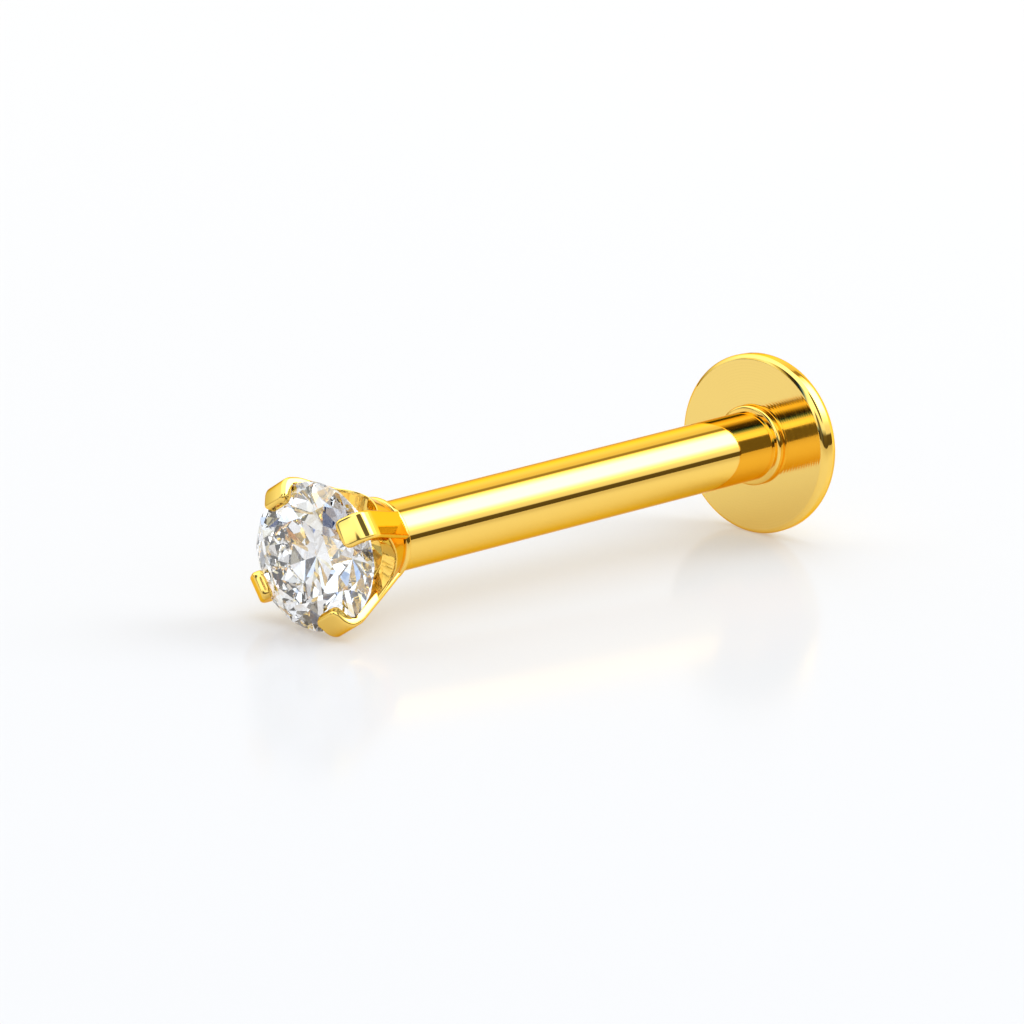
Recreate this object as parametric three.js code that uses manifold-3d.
// A labret stud for a pierced lip or ear: a round post on a flat back disc, and a four-prong
// setting with a round brilliant stone, which pushes into the post by a pin.
//
// The stud's own frame stands it on its back disc. +Y runs up the post to the stone, and Y = 0 is
// the disc's inner face. Heights in the setting and the stone are measured from the face where the
// setting's collar meets the post. At the end the whole stud is laid on its side, on +Z up.

import * as THREE from 'three';
import { mergeVertices } from 'three/addons/utils/BufferGeometryUtils.js';
import Module from 'manifold-3d';

// ---- Driving dimensions, in millimetres, angles in degrees ----

const POST_RADIUS = 0.6;             // 16 gauge wire
const POST_LENGTH = 10;              // from the disc's inner face to the open end
const POST_CHAMFER = 0.04;
const BORE_RADIUS = 0.4;             // takes the setting's pin
const BORE_DEPTH = 5;
const BEAD_WIDTH = 0.07;             // weld bead round the foot of the post
const BEAD_HEIGHT = 0.1;

const DISC_RADIUS = 1.57;
const DISC_THICKNESS = 0.48;
const DISC_INNER_ROUND = 0.09;       // edge round beside the inner face
const DISC_OUTER_ROUND = 0.26;       // edge round beside the outer face

const PIN_RADIUS = 0.36;
const PIN_LENGTH = 4.2;
const PIN_CHAMFER = 0.08;
const SEAT_GAP = 0.02;               // clearance between pieces that touch

const COLLAR_RADIUS = 0.74;
const COLLAR_HEIGHT = 0.12;
const COLLAR_ROUND = 0.04;
const BASE_FLOOR = 0.42;             // floor under the stone's point, and the foot of each scallop
const BASE_TOP = 0.85;               // how far the base's wall would rise without its scallops
const BASE_WALL = 0.19;
const SCALLOP_HALF_WIDTH = 0.8;
const SCALLOP_RISE = 1;              // from the foot of a scallop to where its sides are upright

const PRONGS = 4;
const PRONG_WIDTH = 0.5;
const PRONG_BEVEL = 0.03;
const PRONG_TIP_RADIUS = 0.98;       // how near the tip comes to the stone's axis

// Each prong's outside, from its foot on the collar to its folded tip.
const PRONG_OUTSIDE = [
  { radius: 0.73, height: COLLAR_HEIGHT },
  { radius: 1.32, height: 1.42 },
  { radius: 1.37, height: 1.58 },
  { radius: 1.38, height: 1.72 },
  { radius: 1.34, height: 1.81 },
  { radius: 1.03, height: 2.03 },
  { radius: PRONG_TIP_RADIUS, height: 2.01 },
];
// Its inside, from the tip back down. The stone's seat is cut out of it afterwards.
const PRONG_INSIDE = [
  { radius: PRONG_TIP_RADIUS, height: 1.8 },
  { radius: 1.11, height: 1.42 },
  { radius: 0.6, height: 0.3 },
];

const STONE_RADIUS = 1.25;
const GIRDLE_HEIGHT = 1.6;           // middle of the girdle
const GIRDLE_THICKNESS = 0.07;
const TABLE_SHARE = 0.57;            // table across its corners, as a share of the stone
const CROWN_ANGLE = 34.5;            // main facets above the girdle
const PAVILION_ANGLE = 40.8;         // main facets below it
const STAR_SHARE = 0.5;              // how far the star facets reach from the table to the girdle
const LOWER_GIRDLE_SHARE = 0.77;     // how far the lower girdle facets reach towards the point
const MAIN_FACETS = 8;
const STONE_CLEARANCE = 0.02;

const ROUND_SIDES = 40;              // sides of every turned shape
const ARC_STEPS = 3;                 // steps along a rounded edge
const MERGE_DISTANCE = 1e-5;

// ---- Solids: three.js geometry in and out of manifold-3d, which cuts and joins ----

const wasm = await Module();
wasm.setup();

function toSolid(geometry) {
  const bare = new THREE.BufferGeometry();
  bare.setAttribute('position', geometry.getAttribute('position'));
  bare.setIndex(geometry.getIndex());
  const merged = mergeVertices(bare, MERGE_DISTANCE);
  const corners = merged.getIndex().array;
  const triangles = [];
  for (let i = 0; i < corners.length; i += 3) {
    const [a, b, c] = corners.slice(i, i + 3);
    if (a !== b && b !== c && c !== a) triangles.push(a, b, c);
  }
  return new wasm.Manifold(new wasm.Mesh({
    numProp: 3,
    vertProperties: new Float32Array(merged.getAttribute('position').array),
    triVerts: new Uint32Array(triangles),
  }));
}

function toGeometry(solid) {
  const mesh = solid.getMesh();
  const geometry = new THREE.BufferGeometry();
  geometry.setAttribute('position', new THREE.BufferAttribute(mesh.vertProperties, 3));
  geometry.setIndex(new THREE.BufferAttribute(mesh.triVerts, 1));
  return geometry;
}

// A turned shape round Y. Its outline runs from the axis up the outside and back to the axis, with
// radius as x and height as y. A flat side, not a corner, faces +X, so the shape lies still.
function turned(points) {
  const halfSide = Math.PI / ROUND_SIDES;
  return toSolid(new THREE.LatheGeometry(points, ROUND_SIDES, halfSide));
}

const tan = (degrees) => Math.tan(THREE.MathUtils.degToRad(degrees));

// ---- Post and back disc: turned, bored and welded into one piece ----

function postAndBackDisc() {
  const outline = new THREE.Path();
  const rimInner = DISC_RADIUS - DISC_INNER_ROUND;
  const rimOuter = DISC_RADIUS - DISC_OUTER_ROUND;
  outline.moveTo(0, -DISC_THICKNESS);
  outline.lineTo(rimOuter, -DISC_THICKNESS);
  outline.absarc(rimOuter, DISC_OUTER_ROUND - DISC_THICKNESS, DISC_OUTER_ROUND, -Math.PI / 2, 0);
  outline.absarc(rimInner, -DISC_INNER_ROUND, DISC_INNER_ROUND, 0, Math.PI / 2);
  outline.lineTo(POST_RADIUS, 0);
  outline.absellipse(POST_RADIUS, BEAD_HEIGHT / 2, BEAD_WIDTH, BEAD_HEIGHT / 2,
    -Math.PI / 2, Math.PI / 2);
  outline.lineTo(POST_RADIUS, POST_LENGTH - POST_CHAMFER);
  outline.lineTo(POST_RADIUS - POST_CHAMFER, POST_LENGTH);
  outline.lineTo(BORE_RADIUS + POST_CHAMFER, POST_LENGTH);
  outline.lineTo(BORE_RADIUS, POST_LENGTH - POST_CHAMFER);
  outline.lineTo(BORE_RADIUS, POST_LENGTH - BORE_DEPTH);
  outline.lineTo(0, POST_LENGTH - BORE_DEPTH);
  return turned(outline.getPoints(ARC_STEPS));
}

// ---- Prong setting: pin, collar, scalloped base and four prongs, one soldered piece ----

function pinAndBase() {
  const slope = (PRONG_OUTSIDE[1].radius - PRONG_OUTSIDE[0].radius)
    / (PRONG_OUTSIDE[1].height - PRONG_OUTSIDE[0].height);
  const footRadius = PRONG_OUTSIDE[0].radius - SEAT_GAP;
  const topRadius = footRadius + slope * (BASE_TOP - COLLAR_HEIGHT);
  const floorRadius = footRadius + slope * (BASE_FLOOR - COLLAR_HEIGHT) - BASE_WALL;

  const outline = new THREE.Path();
  outline.moveTo(0, -PIN_LENGTH);
  outline.lineTo(PIN_RADIUS - PIN_CHAMFER, -PIN_LENGTH);
  outline.lineTo(PIN_RADIUS, PIN_CHAMFER - PIN_LENGTH);
  outline.lineTo(PIN_RADIUS, 0);
  outline.lineTo(COLLAR_RADIUS - COLLAR_ROUND, 0);
  outline.absarc(COLLAR_RADIUS - COLLAR_ROUND, COLLAR_ROUND, COLLAR_ROUND, -Math.PI / 2, 0);
  outline.absarc(COLLAR_RADIUS - COLLAR_ROUND, COLLAR_HEIGHT - COLLAR_ROUND, COLLAR_ROUND,
    0, Math.PI / 4);
  outline.lineTo(footRadius, COLLAR_HEIGHT);
  outline.lineTo(topRadius, BASE_TOP);
  outline.lineTo(topRadius - BASE_WALL, BASE_TOP);
  outline.lineTo(floorRadius, BASE_FLOOR);
  outline.lineTo(0, BASE_FLOOR);
  return turned(outline.getPoints(ARC_STEPS));
}

// What one scallop takes away between two prongs: a channel with a round foot, running out from
// the axis at 45 degrees, but only where it stays clear of both prongs.
function scallop(turn) {
  const top = BASE_TOP + SCALLOP_RISE;
  const channel = new THREE.Shape();
  channel.moveTo(-SCALLOP_HALF_WIDTH, top);
  channel.lineTo(-SCALLOP_HALF_WIDTH, BASE_FLOOR + SCALLOP_RISE);
  channel.absellipse(0, BASE_FLOOR + SCALLOP_RISE, SCALLOP_HALF_WIDTH, SCALLOP_RISE,
    Math.PI, 2 * Math.PI);
  channel.lineTo(SCALLOP_HALF_WIDTH, top);

  const reach = 2 * STONE_RADIUS;
  const along = new THREE.ExtrudeGeometry(channel, {
    depth: reach, bevelEnabled: false, curveSegments: ROUND_SIDES / 2,
  });
  along.rotateY(Math.PI / 4 + turn);

  const corner = new THREE.BoxGeometry(reach, reach, reach);
  const clearOfProngs = PRONG_WIDTH / 2 - PRONG_BEVEL + reach / 2;
  corner.translate(clearOfProngs, reach / 2, clearOfProngs);
  corner.rotateY(turn);
  return toSolid(along).intersect(toSolid(corner));
}

function prong(turn) {
  const outline = [...PRONG_OUTSIDE, ...PRONG_INSIDE];
  const shape = new THREE.Shape(outline.map((p) => new THREE.Vector2(p.radius, p.height)));
  const strap = new THREE.ExtrudeGeometry(shape, {
    depth: PRONG_WIDTH - 2 * PRONG_BEVEL,
    bevelThickness: PRONG_BEVEL,
    bevelSize: PRONG_BEVEL,
    bevelOffset: -PRONG_BEVEL,
    bevelSegments: 1,
  });
  strap.translate(0, 0, PRONG_BEVEL - PRONG_WIDTH / 2);
  strap.rotateY(turn);
  return toSolid(strap);
}

// The room that the setting leaves for the stone, a little larger than the stone all round. It
// runs on past the table, so that nothing folds over the stone but the prongs' tips.
function stoneRoom() {
  const radius = STONE_RADIUS + STONE_CLEARANCE;
  const halfGirdle = GIRDLE_THICKNESS / 2 + STONE_CLEARANCE;
  const point = GIRDLE_HEIGHT - halfGirdle - radius * tan(PAVILION_ANGLE);
  const shoulder = upperGirdleSlope() * (radius - PRONG_TIP_RADIUS / 2);
  return turned([
    new THREE.Vector2(0, point),
    new THREE.Vector2(radius, GIRDLE_HEIGHT - halfGirdle),
    new THREE.Vector2(radius, GIRDLE_HEIGHT + halfGirdle),
    new THREE.Vector2(PRONG_TIP_RADIUS / 2, GIRDLE_HEIGHT + halfGirdle + shoulder),
    new THREE.Vector2(0, GIRDLE_HEIGHT + halfGirdle + shoulder),
  ]);
}

function prongSetting() {
  let solid = pinAndBase();
  for (let k = 0; k < PRONGS; k += 1) {
    solid = solid.subtract(scallop(k * 2 * Math.PI / PRONGS));
  }
  for (let k = 0; k < PRONGS; k += 1) {
    solid = solid.add(prong(k * 2 * Math.PI / PRONGS));
  }
  return solid.subtract(stoneRoom());
}

// ---- Stone: a round brilliant with 57 facets ----
// Facets of one kind all lean alike, so each kind is the sides of a pyramid, and the stone is what
// a cylinder and five such pyramids have in common. Heights here are from the edge of the girdle.

const halfMain = Math.PI / MAIN_FACETS;       // from a main facet's middle to its edge
const quarterMain = halfMain / 2;

const tableHeight = STONE_RADIUS * (1 - TABLE_SHARE) * tan(CROWN_ANGLE);
const tableFlat = STONE_RADIUS * TABLE_SHARE * Math.cos(halfMain);
const starReach = tableFlat + STAR_SHARE * (STONE_RADIUS - tableFlat);
const starHeight = (STONE_RADIUS - starReach * Math.cos(halfMain)) * tan(CROWN_ANGLE);

function starSlope() {
  return (tableHeight - starHeight) / (starReach - tableFlat);
}

function upperGirdleSlope() {
  return starHeight / ((STONE_RADIUS - starReach) * Math.cos(quarterMain));
}

function lowerGirdleSlope() {
  const reach = STONE_RADIUS * (1 - LOWER_GIRDLE_SHARE);
  const depth = (STONE_RADIUS - reach * Math.cos(halfMain)) * tan(PAVILION_ANGLE);
  return depth / ((STONE_RADIUS - reach) * Math.cos(quarterMain));
}

// A pyramid of so many facets, which are flatRadius from the axis at height 0 and lean in by
// slope. Its base lies well below the stone. The middle of one facet faces +X turned by turn.
function facets(count, turn, slope, flatRadius) {
  const below = 2 * STONE_RADIUS;
  const apex = flatRadius * slope;
  const cornerRadius = (apex + below) / slope / Math.cos(Math.PI / count);
  const pyramid = new THREE.ConeGeometry(cornerRadius, apex + below, count, 1, false,
    Math.PI / count);
  pyramid.translate(0, (apex - below) / 2, 0);
  pyramid.rotateY(turn);
  return pyramid;
}

function roundStone() {
  const edgeFlat = STONE_RADIUS * Math.cos(quarterMain);
  const crown = [
    facets(MAIN_FACETS, 0, tan(CROWN_ANGLE), STONE_RADIUS),
    facets(MAIN_FACETS, halfMain, starSlope(), tableFlat + tableHeight / starSlope()),
    facets(2 * MAIN_FACETS, quarterMain, upperGirdleSlope(), edgeFlat),
  ];
  const pavilion = [
    facets(MAIN_FACETS, 0, tan(PAVILION_ANGLE), STONE_RADIUS),
    facets(2 * MAIN_FACETS, quarterMain, lowerGirdleSlope(), edgeFlat),
  ];

  const point = GIRDLE_HEIGHT - GIRDLE_THICKNESS / 2 - STONE_RADIUS;
  const table = GIRDLE_HEIGHT + GIRDLE_THICKNESS / 2 + tableHeight;
  const blank = new THREE.CylinderGeometry(STONE_RADIUS, STONE_RADIUS, table - point, ROUND_SIDES);
  blank.translate(0, (table + point) / 2, 0);
  let solid = toSolid(blank);
  for (const pyramid of crown) {
    pyramid.translate(0, GIRDLE_HEIGHT + GIRDLE_THICKNESS / 2, 0);
    solid = solid.intersect(toSolid(pyramid));
  }
  for (const pyramid of pavilion) {
    pyramid.rotateX(Math.PI);
    pyramid.translate(0, GIRDLE_HEIGHT - GIRDLE_THICKNESS / 2, 0);
    solid = solid.intersect(toSolid(pyramid));
  }
  return solid;
}

// ---- How the stud lies ----
// It lies on the disc's rim, on the stone's girdle, which stands out between the prongs, and on
// the edge of one prong. Drop is the distance from the stud's axis down to what it lies on.

const flatSide = Math.cos(Math.PI / ROUND_SIDES);
const gemBase = POST_LENGTH + SEAT_GAP;
const rimContact = { along: -DISC_INNER_ROUND, drop: DISC_RADIUS * flatSide };
const girdleContact = {
  along: gemBase + GIRDLE_HEIGHT + GIRDLE_THICKNESS / 2,
  drop: STONE_RADIUS * flatSide,
};
const fall = (rimContact.drop - girdleContact.drop) / (girdleContact.along - rimContact.along);
const tilt = Math.atan(fall);

// The turn, about the post, from a prong's middle to straight down.
function restingTurn() {
  const widest = PRONG_OUTSIDE[3];
  const corner = new THREE.Vector2(widest.radius, PRONG_WIDTH / 2 - PRONG_BEVEL);
  const ahead = gemBase + widest.height - girdleContact.along;
  const drop = girdleContact.drop - ahead * fall;
  return corner.angle() + Math.acos(drop / corner.length());
}

// ---- Assembly ----

const gold = new THREE.MeshStandardMaterial({ color: 0xe9b949, metalness: 1, roughness: 0.15 });
const crystal = new THREE.MeshStandardMaterial({ color: 0xf3f6fa, metalness: 0, roughness: 0.03 });

function piece(name, solid, material) {
  const mesh = new THREE.Mesh(toGeometry(solid), material);
  mesh.name = name;
  return mesh;
}

const backing = piece('post_and_back_disc', postAndBackDisc(), gold);

const setting = piece('prong_setting', prongSetting(), gold);
setting.position.y = gemBase;
setting.rotation.y = restingTurn();

const stone = piece('round_stone', roundStone(), crystal);
stone.position.y = gemBase;
stone.rotation.y = Math.PI / ROUND_SIDES;

const stud = new THREE.Group();
stud.add(backing, setting, stone);
const down = new THREE.Vector3(0, 0, -1);
const towardStone = new THREE.Vector3(-1, 0, 0);
const lying = new THREE.Matrix4().makeBasis(down, towardStone, down.clone().cross(towardStone));
stud.quaternion.setFromRotationMatrix(lying);

const part = new THREE.Group();
part.add(stud);
part.rotation.y = -tilt;

// The origin is below the middle of the stud's box, on the surface that it lies on.
part.updateMatrixWorld(true);
const box = new THREE.Box3().setFromObject(part, true);
part.position.set(-(box.min.x + box.max.x) / 2, -(box.min.y + box.max.y) / 2, -box.min.z);

export default part;
